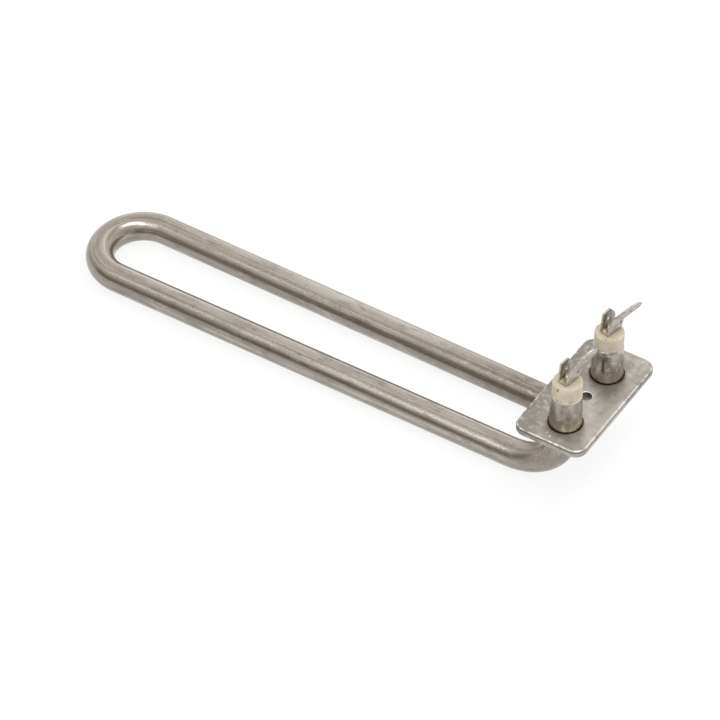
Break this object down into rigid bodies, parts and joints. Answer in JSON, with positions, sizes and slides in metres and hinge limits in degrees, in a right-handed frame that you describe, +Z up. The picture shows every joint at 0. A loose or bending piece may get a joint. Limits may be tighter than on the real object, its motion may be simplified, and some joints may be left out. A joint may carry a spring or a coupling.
{
  "type": "tubular heating element",
  "caption": "Hairpin tubular heating element: round steel sheath with both ends upturned through a flange plate to ceramic beads and double tab terminals.",
  "frame": {"origin": "middle of the bounding box, on the surface that the hairpin lies on", "axes": "+X from the hairpin's closed end to the flange plate, +Y from the near post to the far post, +Z up along the posts"},
  "size_m": [0.1758, 0.0424, 0.052],
  "materials": {
    "sheath_steel": "drawn stainless tube, heat-tinted warm grey-brown with dull stains",
    "magnesia": "packed white powder, never seen",
    "coil_wire": "oxidised resistance wire, never seen",
    "plate_steel": "stamped stainless, worn bright at the edges, blotchy pale film",
    "pin_steel": "tan, lightly tarnished",
    "seal_resin": "matt resin, never seen",
    "bead_ceramic": "unglazed ivory ceramic with small chips and stains",
    "tab_plated_steel": "plated strip, light grey with brownish spots",
    "braze_metal": "dull dark braze"
  },
  "bodies": {
    "root": {"sheath_tube": "sheath_steel", "magnesia_fill": "magnesia", "resistance_coil": "coil_wire", "flange_plate": "plate_steel", "near_terminal_pin": "pin_steel", "near_end_seal": "seal_resin", "near_ceramic_bead": "bead_ceramic", "near_tab_terminal": "tab_plated_steel", "near_braze_ring": "braze_metal", "far_terminal_pin": "pin_steel", "far_end_seal": "seal_resin", "far_ceramic_bead": "bead_ceramic", "far_tab_terminal": "tab_plated_steel", "far_braze_ring": "braze_metal"}
  },
  "joints": []
}
